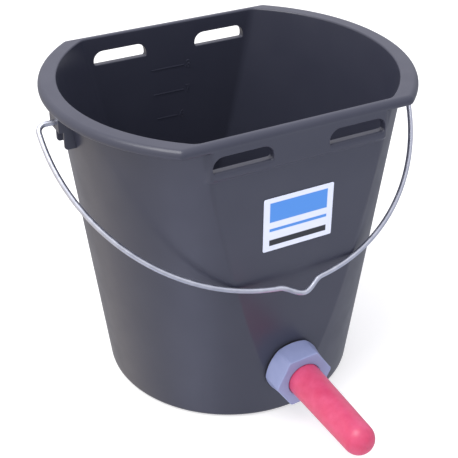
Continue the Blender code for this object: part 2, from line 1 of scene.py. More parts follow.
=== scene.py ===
# %% [markdown]
# # A calf feeding bucket, dressed for its picture
#
# The bucket is one thick-walled moulding in dark polypropylene, with a flat front and a flat back,
# so that it hangs close to a rail. A wire bail swings over it, and a calf drinks from the rubber
# teat low on the front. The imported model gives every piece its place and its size. This lesson
# models each piece again, finely, on top of it, and gives it the finish of the real material.

# %% Load the frame
import json
import math
from collections import namedtuple

import bmesh
import bpy
from mathutils import Matrix, Vector


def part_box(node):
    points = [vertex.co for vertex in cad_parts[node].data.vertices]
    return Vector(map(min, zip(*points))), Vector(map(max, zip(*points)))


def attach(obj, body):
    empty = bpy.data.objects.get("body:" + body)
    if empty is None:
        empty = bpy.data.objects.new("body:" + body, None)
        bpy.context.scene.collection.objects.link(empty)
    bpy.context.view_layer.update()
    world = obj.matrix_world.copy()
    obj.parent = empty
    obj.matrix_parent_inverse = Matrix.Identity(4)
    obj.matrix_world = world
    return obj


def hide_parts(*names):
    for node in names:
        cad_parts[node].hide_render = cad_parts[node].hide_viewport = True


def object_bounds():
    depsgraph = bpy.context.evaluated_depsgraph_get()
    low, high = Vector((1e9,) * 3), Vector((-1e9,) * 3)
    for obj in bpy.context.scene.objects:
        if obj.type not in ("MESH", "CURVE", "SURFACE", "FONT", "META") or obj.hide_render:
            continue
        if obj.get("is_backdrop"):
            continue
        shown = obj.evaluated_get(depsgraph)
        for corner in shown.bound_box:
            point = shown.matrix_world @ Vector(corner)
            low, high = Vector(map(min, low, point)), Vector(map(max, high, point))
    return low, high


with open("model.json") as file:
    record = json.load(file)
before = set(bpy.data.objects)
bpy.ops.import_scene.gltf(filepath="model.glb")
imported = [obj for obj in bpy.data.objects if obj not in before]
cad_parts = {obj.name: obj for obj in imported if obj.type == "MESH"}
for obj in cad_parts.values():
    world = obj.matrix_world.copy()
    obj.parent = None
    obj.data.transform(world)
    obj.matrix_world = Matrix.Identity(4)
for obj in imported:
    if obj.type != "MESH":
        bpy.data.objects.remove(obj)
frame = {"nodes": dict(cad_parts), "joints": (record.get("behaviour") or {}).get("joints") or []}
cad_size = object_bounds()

print("nodes in the frame:", ", ".join(sorted(frame["nodes"])))

# %% [markdown]
# ## Sizes
#
# What lies inside a node, such as a wall's thickness, is a named value in metres. A sloping wall
# is a function of the height.

# %% Sizes of the bucket
RIM_RADIUS, RIM_FLAT, BUCKET_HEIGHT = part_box("bucket")[1]
RIM_THICKNESS = 0.0068
RIM_ROUND = 0.0022
RIM_SHOULDER = 0.0044
RIM_CORNER = 0.0060
RIM_REACH = 0.0109
MOUTH_ROUND = 0.0014
MOUTH_CORNER = 0.0110

BASE_RADIUS = 0.1005
WALL = 0.0027
FLOOR = 0.0032
BASE_ROUND = 0.0040
FLOOR_ROUND = 0.0080
FOOT_WIDTH = 0.0100
CENTRE_PAD = 0.0320
BASE_RECESS = 0.0012

LEDGE = 0.0016
FLAT_LEAN = 0.0031
FLAT_WALL = 0.0022
CREASE_ROUND = 0.0080

RIM_UNDERSIDE = BUCKET_HEIGHT - RIM_THICKNESS
MOUTH_RADIUS = RIM_RADIUS - RIM_REACH
FLAT_AT_BASE = RIM_FLAT - LEDGE - FLAT_LEAN
INNER_FLAT = FLAT_AT_BASE - FLAT_WALL
SLOPE = (MOUTH_RADIUS - BASE_RADIUS) / BUCKET_HEIGHT
LEAN_SLOPE = FLAT_LEAN / BUCKET_HEIGHT
DRAFT = math.atan(SLOPE)
LEAN = math.atan(LEAN_SLOPE)
print(f"rim {2000 * RIM_RADIUS:.0f} mm across, {1000 * BUCKET_HEIGHT:.0f} mm high")

# %% The wall at a height
INNER_BASE_RADIUS = BASE_RADIUS - WALL / math.cos(DRAFT)


def wall_radius(height):
    return BASE_RADIUS + SLOPE * height


def inner_radius(height):
    return INNER_BASE_RADIUS + SLOPE * height


def flat_distance(height):
    return FLAT_AT_BASE + LEAN_SLOPE * height


FLAT_TIP = (FLAT_AT_BASE - BASE_RADIUS) / (SLOPE - LEAN_SLOPE)
INNER_TIP = (INNER_FLAT - INNER_BASE_RADIUS) / SLOPE
print(f"the flat starts {1000 * FLAT_TIP:.1f} mm up outside, {1000 * INNER_TIP:.1f} mm inside")

# %% The slotted band under the rim
BAND_FACE = RIM_FLAT - 0.0002
BAND_MARGIN = 0.0044
BAND_OVERRUN = 0.0063
BAND_CORNER = 0.0060
SLOT_DROPS = {-1: 0.0107, 1: 0.0126}
SLOT_HEIGHT = 0.0110
SLOT_GAP = 0.0440
SLOT_SIDE = 0.0043
BAND_BOTTOM = BUCKET_HEIGHT - max(SLOT_DROPS.values()) - SLOT_HEIGHT - BAND_MARGIN
BAND_HALF = math.sqrt(wall_radius(BAND_BOTTOM) ** 2 - BAND_FACE ** 2) + BAND_OVERRUN
SLOT_LENGTH = BAND_HALF - SLOT_SIDE - SLOT_GAP / 2
print(f"each slot is {1000 * SLOT_LENGTH:.1f} by {1000 * SLOT_HEIGHT:.1f} mm")

# %% [markdown]
# ## Helpers for meshes
#
# Most pieces are turned: `turned` draws half a section with a few vertices and spins it, which is
# what a lathe or a round mould does. Each vertex keeps the number of its point in the section, so
# that a later step can still tell the rows of the mesh apart. `finish_piece` makes an object at the
# origin that rides on a body of the frame. Its Weighted Normal modifier keeps large faces looking
# flat right up to their small roundings.

# %% Sections, spinning and finishing
MERGE = 0.000002
SHARP_ANGLE = math.radians(34)


def arc(centre_x, centre_y, radius, start, end, steps):
    """Points of an arc, angles in degrees, both ends included."""
    angles = [math.radians(start + (end - start) * i / steps) for i in range(steps + 1)]
    return [(centre_x + radius * math.cos(a), centre_y + radius * math.sin(a)) for a in angles]


def turned(points, steps, closed=False):
    """A bmesh spun about the Z axis from a section of (radius, height) points."""
    shape = bmesh.new()
    row = shape.verts.layers.int.new("row")
    section = []
    for number, (radius, height) in enumerate(points):
        vert = shape.verts.new((radius, 0.0, height))
        vert[row] = number
        section.append(vert)
    ends = section[1:] + section[:1] if closed else section[1:]
    edges = [shape.edges.new(pair) for pair in zip(section, ends)]
    bmesh.ops.spin(shape, geom=section + edges, cent=(0, 0, 0), axis=(0, 0, 1),
                   angle=2 * math.pi, steps=steps, use_merge=True)
    bmesh.ops.remove_doubles(shape, verts=shape.verts, dist=MERGE)
    bmesh.ops.recalc_face_normals(shape, faces=shape.faces)
    return shape


def new_object(name, shape):
    """An object at the origin from a bmesh, which is used up."""
    mesh = bpy.data.meshes.new(name)
    shape.to_mesh(mesh)
    shape.free()
    made = bpy.data.objects.new(name, mesh)
    bpy.context.scene.collection.objects.link(made)
    return made


def finish_piece(piece, material, body, slot, *nodes):
    """Shade and paint a piece, let it ride on a body and stand for its nodes."""
    piece.data.materials.clear()
    piece.data.materials.append(material)
    piece.data.shade_smooth()
    piece.data.set_sharp_from_angle(angle=SHARP_ANGLE)
    normals = piece.modifiers.new("flat faces", "WEIGHTED_NORMAL")
    normals.keep_sharp = True
    if nodes:
        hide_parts(*nodes)
    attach(piece, body)
    print(f"{piece.name}: {len(piece.data.polygons)} faces")


print(f"edges below {math.degrees(SHARP_ANGLE):.0f} degrees are shaded smooth")

# %% [markdown]
# ## Helpers for materials
#
# Colours are picked as sRGB hex values and turned to linear ones in one place. `add_node` adds a
# node with its settings and links, and `fine` turns a real feature size in millimetres into the
# scale of a noise, because the textures read Object coordinates, which are in metres. Three things
# come back in most finishes, so each has a function: a colour that drifts between two shades, a
# gloss that varies, and a skin that rises and falls a little.

# %% Colours, nodes and new materials
Finish = namedtuple("Finish", "material tree shader place")


def linear(hex_colour):
    """An sRGB hex colour as linear light, by the standard curve."""
    values = [int(hex_colour[i:i + 2], 16) / 255 for i in (1, 3, 5)]
    light = [v / 12.92 if v <= 0.04045 else ((v + 0.055) / 1.055) ** 2.4 for v in values]
    return (*light, 1.0)


def fine(size_mm):
    """The scale of a pattern whose features have a size in millimetres."""
    return 1000 / size_mm


def add_node(tree, kind, inputs, **settings):
    """A node; an input is given a value, or another node's output to be linked to."""
    node = tree.nodes.new(kind)
    for name, value in settings.items():
        setattr(node, name, value)
    for name, value in inputs.items():
        if isinstance(value, bpy.types.NodeSocket):
            tree.links.new(value, node.inputs[name])
        else:
            node.inputs[name].default_value = value
    return node


def new_finish(name, constants):
    """A new material with its node tree, its shader and its Object coordinates."""
    material = bpy.data.materials.new(name)
    material.use_nodes = True
    tree = material.node_tree
    shader = tree.nodes["Principled BSDF"]
    for socket, value in constants.items():
        shader.inputs[socket].default_value = value
    place = add_node(tree, "ShaderNodeTexCoord", {}).outputs["Object"]
    print("finish:", name)
    return Finish(material, tree, shader, place)


# %% Drifting colour, varied gloss and uneven skin
def mottled(finish, size_mm, detail, dark, light, fine_share=0.5):
    """Let the colour drift between two shades; fine_share weighs the finer detail."""
    clouds = add_node(finish.tree, "ShaderNodeTexNoise",
                      {"Vector": finish.place, "Scale": fine(size_mm), "Detail": detail,
                       "Roughness": fine_share})
    colour = add_node(finish.tree, "ShaderNodeMix",
                      {"Factor": clouds.outputs["Fac"], "A": linear(dark), "B": linear(light)},
                      data_type="RGBA").outputs["Result"]
    finish.tree.links.new(colour, finish.shader.inputs["Base Color"])
    return colour


def varied_gloss(finish, size_mm, detail, smooth, rough, fine_share=0.5, low=0.3, high=0.7):
    """Let the roughness drift between two values, reached at the noise's low and high."""
    wiped = add_node(finish.tree, "ShaderNodeTexNoise",
                     {"Vector": finish.place, "Scale": fine(size_mm), "Detail": detail,
                      "Roughness": fine_share})
    gloss = add_node(finish.tree, "ShaderNodeMapRange",
                     {"Value": wiped.outputs["Fac"], "From Min": low, "From Max": high,
                      "To Min": smooth, "To Max": rough})
    finish.tree.links.new(gloss.outputs["Result"], finish.shader.inputs["Roughness"])


def uneven_skin(finish, size_mm, detail, depth):
    """Let the surface seem to rise and fall by a depth in metres."""
    waves = add_node(finish.tree, "ShaderNodeTexNoise",
                     {"Vector": finish.place, "Scale": fine(size_mm), "Detail": detail})
    skin = add_node(finish.tree, "ShaderNodeBump",
                    {"Height": waves.outputs["Fac"], "Strength": 1.0, "Distance": depth})
    finish.tree.links.new(skin.outputs["Normal"], finish.shader.inputs["Normal"])


print("a pattern of 10 mm has the scale", fine(10))

# %% [markdown]
# ## Polypropylene of the bucket
#
# The bucket is injection moulded from black polypropylene with a little white in it, which gives a
# cool dark grey. The mould is polished, so the wall has a satin gloss: it mirrors the bail and the
# bright room softly. Three things keep it from looking like a computer's grey. The pigment is a
# little uneven over a few centimetres, the surface ripples very slightly where the plastic shrank,
# and handling has left the gloss a little cloudy. The mould's own grain is about 0.05 mm, far too
# fine to show, so it is part of the roughness and not a bump.

# %% Moulded polypropylene
def make_bucket_plastic():
    finish = new_finish("moulded black polypropylene", {"IOR": 1.49})
    mottled(finish, 45, 3.0, "#363847", "#404250")
    varied_gloss(finish, 18, 2.0, 0.29, 0.36)
    uneven_skin(finish, 40, 0.0, 0.0002)
    return finish.material


bucket_plastic = make_bucket_plastic()

# %% [markdown]
# ## Rings that are pressed flat
#
# The wall is a cone that is pressed flat at the front and at the back. A plane could cut it off,
# but the crease would then be a sharp edge that wanders across the mesh. So each row of the spun
# cone becomes a ring: a circle, a straight side, and a small round where the two meet. Each ring
# also has marks, the angles at which columns of the mesh stand. The columns slide round with them
# and follow the crease, so it stays one clean line of edges up the wall. The same rings make the
# nut later, whose six flats swell towards a circle.

# %% The outline of a pressed ring
# Band and roundness run from 0 to 1: how far a ring has swelled to the band, or to its circle.
Ring = namedtuple("Ring", "height radius flat corner band roundness marks",
                  defaults=(0.0, 0.0, ()))
LEAST_TURN = math.radians(5)


def corner_centre(ring):
    """Centre of the small round: its distance towards the flat, and across."""
    side = ring.flat - ring.corner
    return side, math.sqrt((ring.radius - ring.corner) ** 2 - side ** 2)


def corner_turns(ring):
    """Angles from the middle of a flat to where it ends, and to where the circle starts."""
    if ring.flat >= ring.radius:
        return 0.0, 0.0
    side, across = corner_centre(ring)
    return math.atan2(across, ring.flat), math.atan2(across, side)


def rounded_corner(turn, side, across, corner):
    """Distance from the middle to a small round about the point (across, side)."""
    along = side * math.cos(turn) + across * math.sin(turn)
    return along + math.sqrt(along ** 2 - side ** 2 - across ** 2 + corner ** 2)


def pressed_radius(ring, turn):
    """Distance from the middle to a ring, at an angle from the middle of its flat."""
    flat_end, round_start = corner_turns(ring)
    if turn >= round_start:
        return ring.radius
    if turn <= flat_end:
        return ring.flat / math.cos(turn)
    return rounded_corner(turn, *corner_centre(ring), ring.corner)


print("a ring has", ", ".join(Ring._fields))

# %% The outline of the slotted band
BAND_SIDE = BAND_FACE - BAND_CORNER
BAND_ACROSS = BAND_HALF - BAND_CORNER
BAND_TURNS = (math.atan2(BAND_ACROSS, BAND_FACE), math.atan2(BAND_HALF, BAND_SIDE))


def band_radius(turn):
    """Distance from the middle to the band, a block with rounded corners."""
    if turn <= BAND_TURNS[0]:
        return BAND_FACE / math.cos(turn)
    if turn >= BAND_TURNS[1]:
        return BAND_HALF / math.sin(turn)
    return rounded_corner(turn, BAND_SIDE, BAND_ACROSS, BAND_CORNER)


print(f"the band's corners lie {math.degrees(BAND_TURNS[0]):.1f} degrees off the middle")

# %% Press a spun shape
def press(shape, rings, sides, steps):
    """Move each vertex of a spun shape to its ring; steps count the columns between marks."""
    row = shape.verts.layers.int["row"]
    sector = math.pi / sides
    count = sum(steps)
    for vert in shape.verts:
        ring = rings[vert[row]]
        if ring.radius == 0:
            continue
        around = round(math.atan2(vert.co.x, vert.co.y) / sector * count)
        nearest = 2 * round(around / (2 * count))
        place = around - nearest * count
        marks = [0.0]
        for mark in ring.marks or corner_turns(ring):
            marks.append(max(mark, marks[-1] + LEAST_TURN / sides))
        marks.append(sector)
        turn = 0.0
        left = abs(place)
        for step, start, end in zip(steps, marks, marks[1:]):
            if left <= step:
                turn = start + (end - start) * left / step
                break
            left -= step
        distance = pressed_radius(ring, turn)
        if ring.band:
            distance += ring.band * max(0.0, band_radius(turn) - distance)
        distance += ring.roundness * (ring.radius - distance)
        facing = nearest * sector + math.copysign(turn, place)
        vert.co = (distance * math.sin(facing), distance * math.cos(facing), ring.height)


print(f"with two flats, marks stay {math.degrees(LEAST_TURN / 2):.1f} degrees apart")

# %% [markdown]
# ## The moulding
#
# The section runs from the middle of the underside, over the foot ring, up the outside, round the
# rim and down the inside to the middle of the floor. The rows lie closer together near the lower
# tip of the flat, where the crease bends most.

# %% Rings of the base
ROUND_STEPS = 5
RECESS_EDGE = 0.0004


def disc(radius, height, marks=()):
    """A ring without flats."""
    return Ring(height, radius, radius, 0.0, marks=marks)


def rim_ring(height, back, band=0.0):
    """A ring of the rim's outline, drawn in by a small amount."""
    ring = Ring(height, RIM_RADIUS - back, RIM_FLAT - back, RIM_CORNER - back, band)
    return ring._replace(marks=(*BAND_TURNS, *corner_turns(ring)))


RIM_TURNS = corner_turns(rim_ring(BUCKET_HEIGHT, 0.0))


def base_rings():
    """From the middle of the underside to the end of the foot's rounding."""
    recess = BASE_RADIUS - FOOT_WIDTH
    points = [(0.0, 0.0), (CENTRE_PAD / 2, 0.0), (CENTRE_PAD - RECESS_EDGE, 0.0),
              (CENTRE_PAD, RECESS_EDGE), (CENTRE_PAD, BASE_RECESS),
              ((CENTRE_PAD + recess) / 2, BASE_RECESS), (recess, BASE_RECESS),
              (recess, RECESS_EDGE), (recess + RECESS_EDGE, 0.0)]
    middle = BASE_RADIUS - BASE_ROUND * math.tan((math.pi / 2 - DRAFT) / 2)
    points += arc(middle, BASE_ROUND, BASE_ROUND, -90, -math.degrees(DRAFT), ROUND_STEPS)
    return [disc(radius, height, (0.0, 0.0, *RIM_TURNS)) for radius, height in points]


print(f"the rim's corners lie {math.degrees(RIM_TURNS[1]):.1f} degrees off the middle")

# %% Rings of the outside
TIP_CROWDING = 1.6
DRIFT_HEIGHT = 0.0600
LEDGE_HEIGHT = 0.0034
LEDGE_START = BAND_BOTTOM - LEDGE_HEIGHT / 2
RIM_CLEARANCE = 0.0003
LOW_ROWS = 5
WALL_ROWS = 46
LEDGE_ROWS = 8
BAND_ROWS = 4


def evenly(start, end, rows):
    """Heights from start to end in equal steps, without the start."""
    return [start + (end - start) * i / rows for i in range(1, rows + 1)]


def crowded(start, end, rows):
    """Heights from start to end that lie closer together near the start."""
    return [start + (end - start) * (i / rows) ** TIP_CROWDING for i in range(rows + 1)]


def wall_ring(height, band=0.0):
    """A ring of the outer wall, whose columns drift from the crease to the band's end."""
    ring = Ring(height, wall_radius(height), flat_distance(height), CREASE_ROUND, band)
    drift = min(1.0, max(0.0, 1 - (LEDGE_START - height) / DRIFT_HEIGHT))
    drift = drift * drift * (3 - 2 * drift)
    crease = [turn + (goal - turn) * drift for turn, goal in zip(corner_turns(ring), BAND_TURNS)]
    return ring._replace(marks=(*crease, *RIM_TURNS))


def outside_rings():
    """Up the wall, over the ledge and up the band to the rim."""
    rings = [wall_ring(height) for height in evenly(BASE_ROUND, FLAT_TIP, LOW_ROWS)[:-1]]
    rings += [wall_ring(height) for height in crowded(FLAT_TIP, LEDGE_START, WALL_ROWS)]
    for i in range(1, LEDGE_ROWS + 1):
        share = i / LEDGE_ROWS
        swell = 0.5 - 0.5 * math.cos(math.pi * share)
        rings.append(wall_ring(LEDGE_START + LEDGE_HEIGHT * share, swell))
    band = evenly(LEDGE_START + LEDGE_HEIGHT, RIM_UNDERSIDE - RIM_CLEARANCE, BAND_ROWS)
    return rings + [wall_ring(height, 1.0) for height in band]


print(f"the ledge starts {1000 * LEDGE_START:.1f} mm up")

# %% Rings of the rim and the inside
SHOULDER_STEPS = 7
MOUTH_STEPS = 6
HEEL_STEPS = 8
INSIDE_ROWS = 40
FLAT_SHARES = (0.80, 0.88)
FLOOR_SHARES = (0.66, 0.33, 0.0)


def inner_ring(height, radius, back=0.0):
    """A ring of the inner wall, set back by a small amount where the mouth is rounded."""
    ring = Ring(height, radius, INNER_FLAT + back, MOUTH_CORNER + back)
    flat_end, round_start = corner_turns(ring)
    on_flat = [share * flat_end for share in FLAT_SHARES]
    return ring._replace(marks=(*on_flat, flat_end, round_start))


def round_steps(radius, start, end, steps):
    """Points round an edge: how far each is drawn in, and how far it is above the centre."""
    return [(radius - reach, rise) for reach, rise in arc(0.0, 0.0, radius, start, end, steps)]


def rim_rings():
    """Out under the rim, round its edge and in over its top to the mouth."""
    rings = [rim_ring(RIM_UNDERSIDE + RIM_ROUND + rise, back, 1.0)
             for back, rise in round_steps(RIM_ROUND, -90, 0, ROUND_STEPS)]
    rings += [rim_ring(BUCKET_HEIGHT - RIM_SHOULDER + rise, back)
              for back, rise in round_steps(RIM_SHOULDER, 0, 90, SHOULDER_STEPS)]
    inside = inner_radius(BUCKET_HEIGHT - MOUTH_ROUND)
    rings += [inner_ring(BUCKET_HEIGHT - MOUTH_ROUND - drop, inside + back, back)
              for back, drop in round_steps(MOUTH_ROUND, -90, 0, MOUTH_STEPS)]
    return rings


def inside_rings():
    """Down the inner wall, round the heel and over the floor to the middle."""
    down = crowded(INNER_TIP, BUCKET_HEIGHT - MOUTH_ROUND, INSIDE_ROWS)[-2::-1]
    rings = [inner_ring(height, inner_radius(height)) for height in down]
    middle = inner_radius(FLOOR) - FLOOR_ROUND * math.tan((math.pi / 2 - DRAFT) / 2)
    heel = arc(middle, FLOOR + FLOOR_ROUND, FLOOR_ROUND, -math.degrees(DRAFT), -90, HEEL_STEPS)
    between = (INNER_TIP + heel[0][1]) / 2
    low = [(inner_radius(between), between)] + heel
    low += [(middle * share, FLOOR) for share in FLOOR_SHARES]
    return rings + [disc(radius, height, (0.0, 0.0, 0.0, 0.0)) for radius, height in low]


print(f"the mouth's radius is {1000 * inner_radius(BUCKET_HEIGHT):.1f} mm")

# %% Spin and press the moulding
AROUND_STEPS = (12, 7, 12, 6, 22)
BUCKET_SIDES = 2

shell_rings = base_rings() + outside_rings() + rim_rings() + inside_rings()
shell = turned([(ring.radius, ring.height) for ring in shell_rings],
               2 * BUCKET_SIDES * sum(AROUND_STEPS))
press(shell, shell_rings, BUCKET_SIDES, AROUND_STEPS)
print(f"{len(shell_rings)} rings, {len(shell.faces)} faces in the moulding")
bucket = new_object("bucket_moulding", shell)

# %% [markdown]
# ## Ears, slots and the seat of the valve
#
# An ear is a small plate under the rim on two ribs, with a hole for the wire. The ears and the
# round pad behind the nut are joined to the wall by a Boolean union. The slots, the valve's bore
# and the pivot holes are then cut out. A slot's cutter widens where it leaves the wall, most of all
# downwards, so that the cut itself leaves the rounded sill that catches the light.

# %% Lofted solids for joining and cutting
def lofted(outlines):
    """A closed solid through outlines that have the same number of points."""
    shape = bmesh.new()
    place = shape.verts.layers.int.new("place")
    for number, point in enumerate(outlines[0]):
        shape.verts.new(point)[place] = number
    start = end = shape.faces.new(shape.verts[:])
    for outline in outlines[1:]:
        passed = end
        grown = bmesh.ops.extrude_face_region(shape, geom=[passed])["geom"]
        end = [item for item in grown if isinstance(item, bmesh.types.BMFace)][0]
        for vert in end.verts:
            vert.co = outline[vert[place]]
        if passed is not start:
            bmesh.ops.delete(shape, geom=[passed], context="FACES_ONLY")
    bmesh.ops.recalc_face_normals(shape, faces=shape.faces)
    return shape


def block(size, middle):
    """A box of a given size about a point."""
    shape = bmesh.new()
    bmesh.ops.create_cube(shape, size=1.0,
                          matrix=Matrix.Translation(middle) @ Matrix.Diagonal((*size, 1.0)))
    return shape


def rod(radius, start, end, steps):
    """A cylinder between two points."""
    start = Vector(start)
    axis = Vector(end) - start
    turn = axis.to_track_quat("Z", "Y").to_matrix().to_4x4()
    shape = bmesh.new()
    bmesh.ops.create_cone(shape, cap_ends=True, segments=steps, radius1=radius, radius2=radius,
                          depth=axis.length, matrix=Matrix.Translation(start + axis / 2) @ turn)
    return shape


def soften(shape, width, edges=None):
    """Round some edges of a solid, or else all of them."""
    bmesh.ops.bevel(shape, geom=edges or shape.edges[:], offset=width, offset_type="OFFSET",
                    affect="EDGES", segments=2, profile=0.5, material=-1, clamp_overlap=True)
    return shape


print("ready: lofted, block, rod and soften")

# %% Ears
HINGE_HEIGHT = frame["joints"][0]["pos_m"][2]
RIM_SINK = 0.0030
EAR_BACK = 0.0030
EAR_FACE = RIM_RADIUS - EAR_BACK
EAR_WIDTH = 0.0180
EAR_THICKNESS = 0.0022
EAR_EDGE = 0.0052
EAR_SOFTNESS = 0.0005
RIB_LENGTH = 0.0264
RIB_SET = 0.0035
RIB_ROUND = 0.0022
RIB_STEPS = 6
RIB_BITE = WALL / 3
PLATE_BOTTOM = HINGE_HEIGHT - EAR_EDGE
PLATE_INSET = 0.0002
HAIR = 0.0001


def rib_outline():
    """Side view of a rib: distance from the bucket's axis, and height."""
    top = RIM_UNDERSIDE + RIM_SINK
    low = RIM_UNDERSIDE - RIB_LENGTH
    foot = EAR_FACE - RIB_SET
    root = inner_radius(low) + RIB_BITE
    high_root = inner_radius(top) + RIB_BITE
    corner = arc(foot - RIB_ROUND, low + RIB_ROUND, RIB_ROUND, 0, -90, RIB_STEPS)
    return [(high_root, top), (EAR_FACE, top), (EAR_FACE, PLATE_BOTTOM),
            (foot, PLATE_BOTTOM)] + corner + [(root, low)]


def make_ears():
    """Two ribs and a plate on each side, as separate solids."""
    solids = []
    outer = EAR_WIDTH / 2
    inner = outer - EAR_THICKNESS
    size = (EAR_THICKNESS, EAR_WIDTH - 2 * PLATE_INSET, RIM_UNDERSIDE + RIM_SINK - PLATE_BOTTOM)
    for side in (-1, 1):
        for near, far in ((-outer, -inner), (inner, outer)):
            outlines = [[(side * x, y, z) for x, z in rib_outline()] for y in (near, far)]
            solids.append(soften(lofted(outlines), EAR_SOFTNESS))
        middle = (side * (EAR_FACE - EAR_THICKNESS / 2 - HAIR), 0.0, PLATE_BOTTOM + size[2] / 2)
        solids.append(soften(block(size, middle), EAR_SOFTNESS))
    return solids


print(f"the bail's pivots are {1000 * HINGE_HEIGHT:.1f} mm up")

# %% The valve's seat and its cutters
TEAT_HEIGHT = sum(corner[2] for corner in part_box("teat")) / 2
NUT_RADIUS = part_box("union_nut")[1][0]
GASKET_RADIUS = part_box("inner_gasket")[1][0]
SPIGOT_RADIUS = 0.0160
SEAT_GAP = 0.0003
SPIGOT_HOLE = SPIGOT_RADIUS + SEAT_GAP
SPOT_MARGIN = 0.0010
PAD_PROUD = 0.0004
PAD_FACE = flat_distance(TEAT_HEIGHT) + PAD_PROUD
WIRE_RADIUS = 0.0020
DEEP = 0.0200
AROUND_TEAT = 96
AROUND_SMALL = 32


def on_teat_axis(distance):
    """A point on the teat's axis, so far in front of the bucket's axis."""
    return (0.0, -distance, TEAT_HEIGHT)


def make_pad():
    """The round seat behind the nut, with a softened front edge."""
    pad = rod(NUT_RADIUS, on_teat_axis(INNER_FLAT + WALL / 2), on_teat_axis(PAD_FACE), AROUND_TEAT)
    front = [edge for edge in pad.edges if all(vert.co.y < -PAD_FACE + MERGE for vert in edge.verts)]
    return soften(pad, PAD_PROUD / 2, front)


def make_hole_cutters():
    """Bore of the valve, the flat spot inside it, and the two pivot holes."""
    inside = on_teat_axis(INNER_FLAT - DEEP)
    cutters = [rod(SPIGOT_HOLE, inside, on_teat_axis(PAD_FACE + DEEP), AROUND_TEAT),
               rod(GASKET_RADIUS + SPOT_MARGIN, inside, on_teat_axis(INNER_FLAT), AROUND_TEAT)]
    for side in (-1, 1):
        start = side * (EAR_FACE - EAR_THICKNESS - SEAT_GAP)
        end = side * (EAR_FACE + DEEP)
        cutters.append(rod(WIRE_RADIUS + SEAT_GAP, (start, 0.0, HINGE_HEIGHT),
                           (end, 0.0, HINGE_HEIGHT), AROUND_SMALL))
    return cutters


print(f"the teat's axis is {1000 * TEAT_HEIGHT:.1f} mm up")

# %% Slot cutters
SLOT_TOP_CORNER = 0.0080
SLOT_LOW_CORNER = 0.0020
SLOT_LIP = 0.0005
SLOT_SILL = 0.0024
TOP_STEPS = 10
LOW_STEPS = 5
SILL_STEPS = 6


def slot_outline(start, bottom, depth, lip, sill):
    """A slot with large upper corners, wider by a lip all round and lower by a sill."""
    low = SLOT_LOW_CORNER
    top = SLOT_TOP_CORNER
    end = start + SLOT_LENGTH
    ceiling = bottom + SLOT_HEIGHT
    points = arc(start + low, bottom + low - sill, low + lip, 180, 270, LOW_STEPS)
    points += arc(end - low, bottom + low - sill, low + lip, 270, 360, LOW_STEPS)
    points += arc(end - top, ceiling - top, top + lip, 0, 90, TOP_STEPS)
    points += arc(start + top, ceiling - top, top + lip, 90, 180, TOP_STEPS)
    return [(x, depth, z) for x, z in points]


def slot_stations():
    """Distances from the bucket's axis, each with its lip and its sill."""
    stations = [(INNER_FLAT - DEEP, SLOT_LIP, 0.0), (INNER_FLAT, SLOT_LIP, 0.0),
                (INNER_FLAT + SLOT_LIP, 0.0, 0.0)]
    for drop, depth in arc(SLOT_SILL, SLOT_SILL, SLOT_SILL, 180, 270, SILL_STEPS):
        stations.append((BAND_FACE - depth, max(0.0, SLOT_LIP - depth), drop))
    return stations + [(BAND_FACE + DEEP, SLOT_LIP, SLOT_SILL)]


def make_slot_cutters():
    """Four cutters that widen at both faces of the wall."""
    cutters = []
    for side, drop in SLOT_DROPS.items():
        bottom = BUCKET_HEIGHT - drop - SLOT_HEIGHT
        for start in (SLOT_GAP / 2, -SLOT_GAP / 2 - SLOT_LENGTH):
            cutters.append(lofted([slot_outline(start, bottom, side * depth, lip, sill)
                                   for depth, lip, sill in slot_stations()]))
    return cutters


print(f"a slot's cutter has {len(slot_stations())} outlines")

# %% Join and cut
def combine(target, shapes, operation):
    """Join bmesh solids to an object, or cut them out of it, and keep the result."""
    tools = [new_object(f"{operation.lower()}_{i}", shape) for i, shape in enumerate(shapes)]
    for tool in tools:
        step = target.modifiers.new(tool.name, "BOOLEAN")
        step.operation = operation
        step.solver = "EXACT"
        step.object = tool
    bpy.context.view_layer.update()
    evaluated = target.evaluated_get(bpy.context.evaluated_depsgraph_get())
    result = bpy.data.meshes.new_from_object(evaluated)
    target.modifiers.clear()
    for tool in tools:
        bpy.data.objects.remove(tool, do_unlink=True)
    shape = bmesh.new()
    shape.from_mesh(result)
    bmesh.ops.remove_doubles(shape, verts=shape.verts, dist=MERGE)
    bmesh.ops.dissolve_degenerate(shape, edges=shape.edges, dist=MERGE)
    shape.to_mesh(result)
    shape.free()
    target.data = result
    print(f"{operation.lower()} of {len(shapes)} solids: {len(result.polygons)} faces")


combine(bucket, make_ears() + [make_pad()], "UNION")
combine(bucket, make_slot_cutters() + make_hole_cutters(), "DIFFERENCE")
finish_piece(bucket, bucket_plastic, "bucket_and_teat", "bucket_plastic", "bucket")

# %% [markdown]
# ## Litre marks
#
# Three fine lines with their numbers stand on the flat back wall inside, as on any measuring
# vessel. The lines are low bars and the numbers are text made into a mesh. Both belong to the
# moulding, so they have its plastic, and they stand only a third of a millimetre proud.

# %% Raised lines and numbers
MARK_PROUD = 0.00035
MARK_THICKNESS = 0.0011
DIGIT_HEIGHT = 0.0068
DIGIT_SHARE = 0.7
DIGIT_GAP = 0.0015
# Litres, the line's height, its left end and its right end.
LITRE_MARKS = ((8, 0.2149, -0.0182, 0.0114), (7, 0.1926, -0.0172, 0.0107),
               (6, 0.1702, -0.0145, 0.0044))


def solid_from(curve):
    """The shape that a curve or a text makes, as a bmesh."""
    holder = bpy.data.objects.new(curve.name, curve)
    bpy.context.scene.collection.objects.link(holder)
    bpy.context.view_layer.update()
    mesh = bpy.data.meshes.new_from_object(holder)
    bpy.data.objects.remove(holder)
    shape = bmesh.new()
    shape.from_mesh(mesh)
    bmesh.ops.remove_doubles(shape, verts=shape.verts, dist=MERGE)
    return shape


